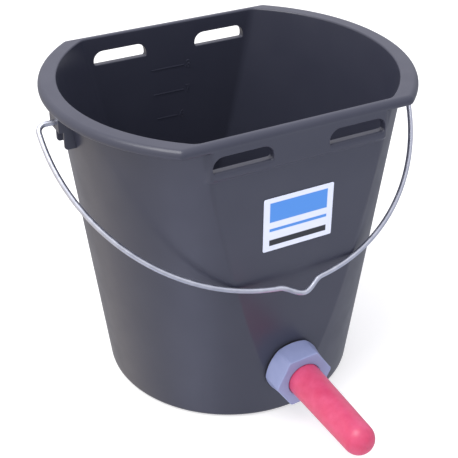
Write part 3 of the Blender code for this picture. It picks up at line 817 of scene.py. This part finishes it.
def to_front(shape, place, lean=0.0):
    """Turn a shape so that its Z points to the front, and move it to a place."""
    turn = Matrix.Rotation(math.pi / 2 + lean, 4, "X")
    bmesh.ops.transform(shape, matrix=Matrix.Translation(place) @ turn, verts=shape.verts)
    return shape


def mark_line(left, right, height):
    """A low bar with rounded edges on the inner back wall."""
    size = (right - left, 2 * MARK_PROUD, MARK_THICKNESS)
    return soften(block(size, ((left + right) / 2, INNER_FLAT, height)), MARK_PROUD / 2)


def mark_digit(number, left, middle):
    """A raised number that faces the front."""
    words = bpy.data.curves.new(f"litres_{number}", "FONT")
    words.body = str(number)
    words.size = DIGIT_HEIGHT / DIGIT_SHARE
    words.extrude = MARK_PROUD / 2
    words.bevel_depth = MARK_PROUD / 3
    words.align_x = "LEFT"
    words.align_y = "CENTER"
    return to_front(solid_from(words), (left, INNER_FLAT, middle))


for litres, mark_height, left, right in LITRE_MARKS:
    line = new_object(f"litre_line_{litres}", mark_line(left, right, mark_height))
    digit = new_object(f"litre_number_{litres}", mark_digit(litres, right + DIGIT_GAP, mark_height))
    for mark in (line, digit):
        finish_piece(mark, bucket_plastic, "bucket_and_teat", "bucket_plastic")

# %% [markdown]
# ## Bail
#
# The bail is 4 mm wire, bent on a jig and dipped in zinc. Its two ends point inwards through the
# ears, and a shallow notch in the middle keeps a hook in place. A curve with a round bevel makes
# such a wire at once. The hanging angle isn't guessed: it follows from the lowest corner of the
# bail's box in the frame.

# %% Galvanised wire
def make_zinc():
    """Zinc from a hot dip: bright but not clear, with faint blotches and a slightly rough skin."""
    finish = new_finish("galvanised steel wire", {"Metallic": 1.0})
    mottled(finish, 6, 3.0, "#bcc0cf", "#e8eaf4")
    varied_gloss(finish, 6, 3.0, 0.34, 0.48)
    uneven_skin(finish, 1.2, 2.0, 0.00004)
    return finish.material


zinc_wire = make_zinc()

# %% The wire's path
bail_low, bail_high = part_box("bail")
BOW_RADIUS = bail_high[0] - WIRE_RADIUS
BAIL_LEG = 0.0090
BAIL_BEND = 0.0060
BAIL_TAIL_GAP = 0.0025
NOTCH_WIDTH = 0.0360
NOTCH_DEPTH = 0.0070
BEND_STEPS = 10
BOW_STEPS = 72
NOTCH_STEPS = 36
WIRE_STEPS = 5
BAIL_ANGLE = math.atan2(-bail_low[1] - WIRE_RADIUS, HINGE_HEIGHT - bail_low[2] - WIRE_RADIUS)


def bail_path():
    """Middle line of the wire in its own plane: across, and away from the pivots."""
    tail = wall_radius(HINGE_HEIGHT) + BAIL_TAIL_GAP
    half = [(tail, 0.0)] + arc(BOW_RADIUS - BAIL_BEND, BAIL_BEND, BAIL_BEND, -90, 0, BEND_STEPS)
    notch_end = math.degrees(math.acos(NOTCH_WIDTH / 2 / BOW_RADIUS))
    half += arc(0.0, BAIL_LEG, BOW_RADIUS, 0, notch_end, BOW_STEPS)
    notch = []
    for i in range(1, NOTCH_STEPS):
        across = NOTCH_WIDTH * (0.5 - i / NOTCH_STEPS)
        swell = NOTCH_DEPTH * (0.5 + 0.5 * math.cos(2 * math.pi * across / NOTCH_WIDTH))
        bow = math.sqrt(BOW_RADIUS ** 2 - across ** 2)
        notch.append((across, BAIL_LEG + bow + swell))
    return half + notch + [(-across, away) for across, away in reversed(half)]


def make_bail():
    """The wire as it hangs, from a curve with a round bevel."""
    wire = bpy.data.curves.new("bail_wire", "CURVE")
    wire.dimensions = "3D"
    wire.bevel_depth = WIRE_RADIUS
    wire.bevel_resolution = WIRE_STEPS
    wire.use_fill_caps = True
    line = wire.splines.new("POLY")
    path = bail_path()
    line.points.add(len(path) - 1)
    for point, (across, away) in zip(line.points, path):
        point.co = (across, -away * math.sin(BAIL_ANGLE),
                    HINGE_HEIGHT - away * math.cos(BAIL_ANGLE), 1.0)
    return new_object("bail_wire", solid_from(wire))


finish_piece(make_bail(), zinc_wire, "handle", "galvanised_wire", "bail")
print(f"the bail hangs {math.degrees(BAIL_ANGLE):.2f} degrees from the vertical")

# %% [markdown]
# ## Valve and seals
#
# A spigot with a flange goes through the wall from inside, between two rubber rings. A steel ball
# in it closes when the calf lets go, and a thin cross keeps the ball from rolling out. All of it is
# turned about the teat's axis: a section is drawn as radius and distance from the bucket's axis,
# spun about Z, and laid down so that its Z points to the front.

# %% Place turned pieces on the teat's axis
CORNER_STEPS = 3
CUT_LIMIT = 0.4


def laid_down(name, shape):
    """An object from a shape on the Z axis, laid down on the teat's axis."""
    return new_object(name, to_front(shape, (0.0, 0.0, TEAT_HEIGHT)))


def rounded(points, radius, steps=CORNER_STEPS):
    """A closed section with each corner cut to a small round."""
    section = []
    for before, here, after in zip(points[-1:] + points[:-1], points, points[1:] + points[:1]):
        here = Vector(here)
        back = Vector(before) - here
        on = Vector(after) - here
        cut = min(radius, CUT_LIMIT * back.length, CUT_LIMIT * on.length)
        start = here + back.normalized() * cut
        end = here + on.normalized() * cut
        for i in range(steps + 1):
            share = i / steps
            point = start * (1 - share) ** 2 + here * 2 * share * (1 - share) + end * share ** 2
            section.append(tuple(point))
    return section


print(f"a piece turned about the teat's axis has {AROUND_TEAT} steps around")

# %% Rubber and white plastic
def make_black_rubber():
    """Soft moulded rubber: no clear gloss, and a little dust on it."""
    finish = new_finish("moulded black rubber", {"Roughness": 0.62, "IOR": 1.52})
    mottled(finish, 4, 4.0, "#17171a", "#26262a")
    return finish.material


def make_acetal():
    """White engineering plastic, smooth from the mould."""
    finish = new_finish("moulded white acetal", {"Roughness": 0.32, "IOR": 1.48})
    mottled(finish, 9, 2.0, "#dcdcd6", "#efefea")
    return finish.material


black_rubber = make_black_rubber()
white_acetal = make_acetal()

# %% Seals
SEAL_EDGE = 0.0003


def make_seal(name, node):
    """A flat ring with the outer radius and the place of its node in the frame."""
    low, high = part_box(node)
    section = [(SPIGOT_HOLE, -high[1]), (high[0], -high[1]), (high[0], -low[1]),
               (SPIGOT_HOLE, -low[1])]
    return laid_down(name, turned(rounded(section, SEAL_EDGE), AROUND_TEAT, closed=True))


for seal_name, seal_node in (("gasket_inside", "inner_gasket"), ("washer_outside", "outer_washer")):
    seal = make_seal(seal_name, seal_node)
    finish_piece(seal, black_rubber, "bucket_and_teat", "black_rubber", seal_node)

# %% Valve body
body_low, body_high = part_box("valve_body")
FLANGE_IN = -body_high[1]
SPIGOT_END = -body_low[1]
FLANGE_RADIUS = body_high[0]
FLANGE_THICKNESS = 0.0030
INLET_RADIUS = 0.0045
INLET_LENGTH = 0.0020
SPIGOT_BORE = 0.0093
VALVE_EDGE = 0.0008


def make_valve_body():
    """Flanged spigot with an inlet, a conical seat for the ball and a smooth bore."""
    seat = FLANGE_IN + INLET_LENGTH
    section = [(SPIGOT_RADIUS, SPIGOT_END), (SPIGOT_RADIUS, FLANGE_IN + FLANGE_THICKNESS),
               (FLANGE_RADIUS, FLANGE_IN + FLANGE_THICKNESS), (FLANGE_RADIUS, FLANGE_IN),
               (INLET_RADIUS, FLANGE_IN), (INLET_RADIUS, seat),
               (SPIGOT_BORE, seat + SPIGOT_BORE - INLET_RADIUS), (SPIGOT_BORE, SPIGOT_END)]
    shape = turned(rounded(section, VALVE_EDGE), AROUND_TEAT, closed=True)
    return laid_down("valve_spigot", shape)


finish_piece(make_valve_body(), white_acetal, "bucket_and_teat", "valve_plastic", "valve_body")

# %% Ball
BALL_COLUMNS = 64
BALL_ROWS = 32


def make_steel():
    """Polished steel: bright, with faint rolling marks."""
    finish = new_finish("polished stainless steel",
                        {"Metallic": 1.0, "Base Color": linear("#cfd0d2")})
    varied_gloss(finish, 2, 4.0, 0.08, 0.22, low=0.0, high=1.0)
    return finish.material


def make_ball():
    """A sphere with the size and the place of its node."""
    low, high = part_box("valve_ball")
    shape = bmesh.new()
    bmesh.ops.create_uvsphere(shape, u_segments=BALL_COLUMNS, v_segments=BALL_ROWS,
                              radius=(high[0] - low[0]) / 2,
                              matrix=Matrix.Translation((low + high) / 2))
    return new_object("steel_ball", shape)


finish_piece(make_ball(), make_steel(), "ball", "stainless_steel", "valve_ball")

# %% Cage
CAGE_BAR = 0.0022
CAGE_HUB = 0.0026
CAGE_EDGE = 0.0002
CAGE_EDGE_STEPS = 2
CAGE_BITE = 0.0005


def make_cage():
    """A thin ring and a cross, joined in one piece."""
    low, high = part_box("ball_cage")
    inner, outer = -high[1], -low[1]
    section = [(SPIGOT_BORE, inner), (high[0], inner), (high[0], outer), (SPIGOT_BORE, outer)]
    rim = turned(rounded(section, CAGE_EDGE, CAGE_EDGE_STEPS), AROUND_TEAT, closed=True)
    cage = laid_down("cage", rim)
    reach = 2 * SPIGOT_BORE + 2 * CAGE_BITE
    depth = outer - inner - HAIR
    middle = on_teat_axis((inner + outer) / 2)
    bars = [block((reach, depth, CAGE_BAR), middle), block((CAGE_BAR, depth, reach), middle),
            rod(CAGE_HUB, on_teat_axis(inner + HAIR), on_teat_axis(outer - HAIR), AROUND_SMALL)]
    combine(cage, bars, "UNION")
    return cage


finish_piece(make_cage(), white_acetal, "bucket_and_teat", "valve_plastic", "ball_cage")

# %% [markdown]
# ## Union nut
#
# The nut is grey-blue polypropylene. It is a hexagon in front, for the fingers or a spanner, and
# nearly round at the back, where it meets the washer. That is a ring with six flats that swell
# little by little towards a circle: the rings' roundness grows from nothing in front to most of the
# way at the back, so that the six corners stay crisp all along.

# %% Grey-blue polypropylene
def make_nut_plastic():
    """Satin plastic from the mould: soft highlights on a skin with a fine grain."""
    finish = new_finish("moulded grey-blue polypropylene", {"Roughness": 0.42, "IOR": 1.49})
    mottled(finish, 11, 3.0, "#8993bd", "#979fc8")
    uneven_skin(finish, 0.7, 2.0, 0.00002)
    return finish.material


nut_plastic = make_nut_plastic()

# %% Rings of the nut
nut_low, nut_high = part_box("union_nut")
NUT_BACK = -nut_high[1]
NUT_FRONT = -nut_low[1]
NUT_ACROSS = 0.0417
NUT_LIP = 0.0030
NUT_CORNER = 0.0006
NUT_FADE = 2.2
NUT_ROUNDED = 0.70
NUT_EDGE = 0.0009
NUT_TURN = math.radians(4)
NUT_SIDES = 6
NUT_STEPS = (8, 4, 3)
NUT_ROWS = 20
FRONT_ROWS = 4
BACK_ROWS = 3
TEAT_BASE_RADIUS = 0.0135
NUT_MOUTH = TEAT_BASE_RADIUS + SEAT_GAP


def nut_ring(distance, back=0.0):
    """A ring of the nut's outside, drawn in by a small amount."""
    share = (NUT_FRONT - distance) / (NUT_FRONT - NUT_BACK)
    return Ring(distance, NUT_RADIUS - back, NUT_ACROSS / 2 - back, NUT_CORNER,
                roundness=NUT_ROUNDED * share ** NUT_FADE)


def nut_rings():
    """Over the front edge, back along the six flats, and forward again through the bore."""
    shoulder = NUT_FRONT - NUT_LIP
    start = NUT_FRONT - NUT_EDGE
    end = NUT_BACK + NUT_EDGE / 2
    rings = [disc(NUT_MOUTH, NUT_FRONT - NUT_EDGE / 2), disc(NUT_MOUTH + NUT_EDGE / 2, NUT_FRONT)]
    rings += [nut_ring(start + rise, back)
              for back, rise in reversed(round_steps(NUT_EDGE, 0, 90, FRONT_ROWS))]
    rings += [nut_ring(distance) for distance in evenly(start, end, NUT_ROWS)]
    rings += [nut_ring(end - drop, back)
              for back, drop in round_steps(NUT_EDGE / 2, 0, 90, BACK_ROWS)[1:]]
    return rings + [disc(SPIGOT_HOLE, NUT_BACK), disc(SPIGOT_HOLE, shoulder),
                    disc(NUT_MOUTH, shoulder)]


def make_nut():
    """A spun section, pressed to its rings and turned as the photograph shows it."""
    rings = nut_rings()
    points = [(ring.radius, ring.height) for ring in rings]
    shape = turned(points, 2 * NUT_SIDES * sum(NUT_STEPS), closed=True)
    press(shape, rings, NUT_SIDES, NUT_STEPS)
    bmesh.ops.rotate(shape, cent=(0, 0, 0), matrix=Matrix.Rotation(NUT_TURN, 3, "Z"),
                     verts=shape.verts)
    return laid_down("nut", shape)


finish_piece(make_nut(), nut_plastic, "bucket_and_teat", "nut_plastic", "union_nut")

# %% [markdown]
# ## Teat
#
# The teat is soft red rubber with a satin skin. Light goes a little way into it, which is why its
# shaded side is still a warm red, so the shader has a small amount of subsurface scattering. It is
# a slightly tapering tube with a round tip and a tiny hole, turned like the rest.

# %% Red rubber
def make_teat_rubber():
    finish = new_finish("moulded red rubber",
                        {"IOR": 1.52, "Subsurface Weight": 0.25, "Subsurface Scale": 0.004,
                         "Subsurface Radius": (1.0, 0.25, 0.20)})
    mottled(finish, 9, 4.0, "#c3305a", "#dc5e86", fine_share=0.6)
    varied_gloss(finish, 9, 4.0, 0.30, 0.42, fine_share=0.6)
    uneven_skin(finish, 1.5, 3.0, 0.00006)
    return finish.material


teat_rubber = make_teat_rubber()

# %% Teat
teat_low, teat_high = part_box("teat")
TEAT_SEAT = -teat_high[1]
TEAT_TIP = -teat_low[1]
TEAT_FLANGE = 0.0030
TEAT_TIP_RADIUS = 0.0119
TEAT_WALL = 0.0026
TEAT_OPENING = 0.0004
TIP_STEPS = 18
TEAT_ROWS = 24


def make_teat():
    """From the hole in the round tip back to the flange, and forward again inside."""
    middle = TEAT_TIP - TEAT_TIP_RADIUS
    inner = TEAT_TIP_RADIUS - TEAT_WALL
    flange = TEAT_SEAT + TEAT_FLANGE
    outer_stop = math.degrees(math.acos(TEAT_OPENING / TEAT_TIP_RADIUS))
    inner_stop = math.degrees(math.acos(TEAT_OPENING / inner))
    points = arc(0.0, middle, TEAT_TIP_RADIUS, outer_stop, 0, TIP_STEPS)
    for i in range(1, TEAT_ROWS + 1):
        share = i / TEAT_ROWS
        points.append((TEAT_TIP_RADIUS + (TEAT_BASE_RADIUS - TEAT_TIP_RADIUS) * share,
                       middle + (NUT_FRONT - middle) * share))
    points += [(TEAT_BASE_RADIUS, flange), (SPIGOT_RADIUS, flange), (SPIGOT_RADIUS, TEAT_SEAT),
               (TEAT_BASE_RADIUS - TEAT_WALL, TEAT_SEAT)]
    points += arc(0.0, middle, inner, 0, inner_stop, TIP_STEPS)
    return laid_down("rubber_teat", turned(points, AROUND_TEAT, closed=True))


finish_piece(make_teat(), teat_rubber, "bucket_and_teat", "teat_rubber", "teat")

# %% [markdown]
# ## Label
#
# A small vinyl label sits on the flat front. It carries no words but a plain design: a pale sheet
# with a blue panel, a thin blue bar and a thin dark bar. The print is painted by the material, from
# the label's own UV map, where U runs from left to right and V from bottom to top in millimetres.

# %% Printed vinyl
INK_EDGE = 0.2
PRINT_HALF_WIDTH = 23.3
# Ink, lower end and upper end, in millimetres from the label's middle.
PRINT_BARS = (("#4b8fe4", 2.0, 17.6), ("#4b8fe4", -5.6, -3.2), ("#26282f", -17.2, -12.4))


def in_band(tree, value, low, high):
    """One between two limits in millimetres and zero outside, with a narrow soft edge."""
    over = add_node(tree, "ShaderNodeMapRange",
                    {"Value": value, "From Min": low - INK_EDGE, "From Max": low + INK_EDGE})
    under = add_node(tree, "ShaderNodeMapRange",
                     {"Value": value, "From Min": high + INK_EDGE, "From Max": high - INK_EDGE})
    return add_node(tree, "ShaderNodeMath",
                    {0: over.outputs["Result"], 1: under.outputs["Result"]},
                    operation="MULTIPLY").outputs["Value"]


def make_vinyl():
    """A pale sheet with a slight gloss, and the inks laid over it one after another."""
    finish = new_finish("printed vinyl", {"Roughness": 0.32, "IOR": 1.50})
    tree = finish.tree
    uv_map = add_node(tree, "ShaderNodeUVMap", {}, uv_map="print")
    split = add_node(tree, "ShaderNodeSeparateXYZ", {"Vector": uv_map.outputs["UV"]})
    colour = mottled(finish, 12, 3.0, "#dbe3fb", "#e6ebfc")
    wide = in_band(tree, split.outputs["X"], -PRINT_HALF_WIDTH, PRINT_HALF_WIDTH)
    for ink, low, high in PRINT_BARS:
        band = in_band(tree, split.outputs["Y"], low, high)
        share = add_node(tree, "ShaderNodeMath", {0: band, 1: wide}, operation="MULTIPLY")
        colour = add_node(tree, "ShaderNodeMix",
                          {"Factor": share.outputs["Value"], "A": colour, "B": linear(ink)},
                          data_type="RGBA").outputs["Result"]
    tree.links.new(colour, finish.shader.inputs["Base Color"])
    return finish.material


printed_vinyl = make_vinyl()

# %% The label's sheet
label_low, label_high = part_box("label")
LABEL_WIDTH = 2 * label_high[0]
LABEL_MIDDLE = (label_low[2] + label_high[2]) / 2
LABEL_HEIGHT = 0.0430
LABEL_CORNER = 0.0012
LABEL_THICKNESS = 0.0003
LABEL_STEPS = 5


def label_outline(drawn_in, height):
    """The sheet's outline in its own plane, drawn in by a small amount."""
    half_w = LABEL_WIDTH / 2 - LABEL_CORNER
    half_h = LABEL_HEIGHT / 2 - LABEL_CORNER
    radius = LABEL_CORNER - drawn_in
    points = []
    for start, x, y in ((0, half_w, half_h), (90, -half_w, half_h),
                        (180, -half_w, -half_h), (270, half_w, -half_h)):
        points += arc(x, y, radius, start, start + 90, LABEL_STEPS)
    return [(x, y, height) for x, y in points]


def make_label():
    """A thin sheet with a softened edge, printed through a UV map, on the leaning flat."""
    edge = LABEL_THICKNESS / 3
    shape = lofted([label_outline(0.0, 0.0), label_outline(0.0, LABEL_THICKNESS - edge),
                    label_outline(edge, LABEL_THICKNESS)])
    uv = shape.loops.layers.uv.new("print")
    for face in shape.faces:
        for loop in face.loops:
            loop[uv].uv = (1000 * loop.vert.co.x, 1000 * loop.vert.co.y)
    back = flat_distance(LABEL_MIDDLE) + SEAT_GAP / math.cos(LEAN)
    return new_object("front_label", to_front(shape, (0.0, -back, LABEL_MIDDLE), LEAN))


finish_piece(make_label(), printed_vinyl, "bucket_and_teat", "label_vinyl", "label")

# %% [markdown]
# ## Studio
#
# The picture was taken on white, so the floor is a wide sheet that glows a little and shows no hard
# shadow. One soft lamp hangs high above the bucket's left side. The room around is modelled as an
# even base and six glows in the world. A broad warm one on the left and one overhead give most of
# the light, and one behind at the right lights the rim. Three low ones are what the sloping wall
# mirrors: warm behind at the left, cool and narrow in front at the left, weak in front at the
# right. They give the satin wall its soft upright streaks. The floor is hidden from glossy rays, so
# that the wall mirrors this room and not a flat white sheet. The camera stands where the
# photograph's did: its direction, distance and lens were worked out from the ellipses of rim and
# base.

# %% Floor
FLOOR_SIZE = 60.0
FLOOR_GLOW = 0.54
FLOOR_DROP = 0.0002


def make_paper():
    """Matt white paper that glows a little, so that no hard shadow shows on it."""
    finish = new_finish("white paper sweep",
                        {"Roughness": 0.9, "Emission Strength": FLOOR_GLOW,
                         "Emission Color": linear("#ffffff")})
    mottled(finish, 60, 2.0, "#cfcfcf", "#d4d4d4")
    return finish.material


floor_shape = bmesh.new()
bmesh.ops.create_grid(floor_shape, x_segments=2, y_segments=2, size=FLOOR_SIZE / 2)
studio_floor = new_object("studio_floor", floor_shape)
studio_floor.data.materials.append(make_paper())
studio_floor.location.z = -FLOOR_DROP
studio_floor.visible_glossy = False
studio_floor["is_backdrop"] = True
print(f"the floor is {FLOOR_SIZE:.0f} m wide")

# %% Room
ROOM_BASE = (0.43, 0.44, 0.48)
ROOM_GLOWS = (
    # azimuth, elevation, sharpness, colour
    (170, 20, 1.5, (0.50, 0.45, 0.36)),
    (0, 90, 1.2, (0.62, 0.61, 0.64)),
    (62, 32, 5.0, (0.42, 0.40, 0.43)),
    (130, -40, 8.0, (0.34, 0.26, 0.14)),
    (210, -45, 30.0, (0.76, 0.80, 1.15)),
    (305, -38, 5.0, (0.30, 0.33, 0.42)),
)


def add_glow(tree, facing, azimuth, elevation, sharpness, colour):
    """Light that fades with the angle from a direction."""
    level = math.cos(math.radians(elevation))
    towards = (level * math.cos(math.radians(azimuth)), level * math.sin(math.radians(azimuth)),
               math.sin(math.radians(elevation)))
    nearness = add_node(tree, "ShaderNodeVectorMath", {0: facing, 1: towards},
                        operation="DOT_PRODUCT").outputs["Value"]
    positive = add_node(tree, "ShaderNodeMath", {0: nearness, 1: 0.0},
                        operation="MAXIMUM").outputs["Value"]
    faded = add_node(tree, "ShaderNodeMath", {0: positive, 1: sharpness},
                     operation="POWER").outputs["Value"]
    return add_node(tree, "ShaderNodeVectorMath", {0: colour, "Scale": faded},
                    operation="SCALE").outputs["Vector"]


def make_room():
    """A world whose light is the sum of a base and a few glows."""
    made = bpy.data.worlds.new("studio room")
    made.use_nodes = True
    tree = made.node_tree
    facing = add_node(tree, "ShaderNodeTexCoord", {}).outputs["Generated"]
    light = ROOM_BASE
    for glow in ROOM_GLOWS:
        light = add_node(tree, "ShaderNodeVectorMath",
                         {0: light, 1: add_glow(tree, facing, *glow)},
                         operation="ADD").outputs["Vector"]
    tree.links.new(light, tree.nodes["Background"].inputs["Color"])
    return made


bpy.context.scene.world = make_room()
print("glows in the room:", len(ROOM_GLOWS))

# %% Lamp
LAMP_PLACE = Vector((-0.52, -0.12, 1.45))
LAMP_AIM = Vector((0.0, 0.0, 0.1))
LAMP_SIZE = 0.85
LAMP_POWER = 13.0

lamp_data = bpy.data.lights.new("soft_lamp", "AREA")
lamp_data.shape = "SQUARE"
lamp_data.size = LAMP_SIZE
lamp_data.energy = LAMP_POWER
lamp = bpy.data.objects.new("soft_lamp", lamp_data)
lamp.location = LAMP_PLACE
lamp.rotation_euler = (LAMP_AIM - LAMP_PLACE).to_track_quat("-Z", "Y").to_euler()
bpy.context.scene.collection.objects.link(lamp)
print(f"the lamp is {LAMP_SIZE} m wide and hangs {LAMP_PLACE.z:.2f} m up")

# %% Camera
VIEW_BACK = Vector((-0.3977, -0.7505, 0.5278))
VIEW_TARGET = Vector((0.00067, -0.00036, 0.1114))
VIEW_DISTANCE = 0.8417
VIEW_NEAREST = 0.05
SENSOR = 36.0
LENS = 81.38

camera_data = bpy.data.cameras.new("camera")
camera_data.sensor_width = SENSOR
camera_data.lens = LENS
camera_data.clip_start = VIEW_NEAREST
camera = bpy.data.objects.new("camera", camera_data)
camera.location = VIEW_TARGET + VIEW_BACK.normalized() * VIEW_DISTANCE
camera.rotation_euler = (-VIEW_BACK).to_track_quat("-Z", "Y").to_euler()
bpy.context.scene.collection.objects.link(camera)
bpy.context.scene.camera = camera
bpy.context.scene.view_settings.view_transform = "Standard"
print("camera at", [round(value, 3) for value in camera.location])

# %% [markdown]
# ## Sizes before and after
#
# The boxes of the imported bucket and of the dressed one are both printed. The dressed bucket
# must not be larger than the imported one.

# %% Print both boxes and finish
visual_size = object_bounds()
for title, box in (("packed box:", cad_size), ("dressed box:", visual_size)):
    print(title, [[round(1000 * value, 2) for value in corner] for corner in box])
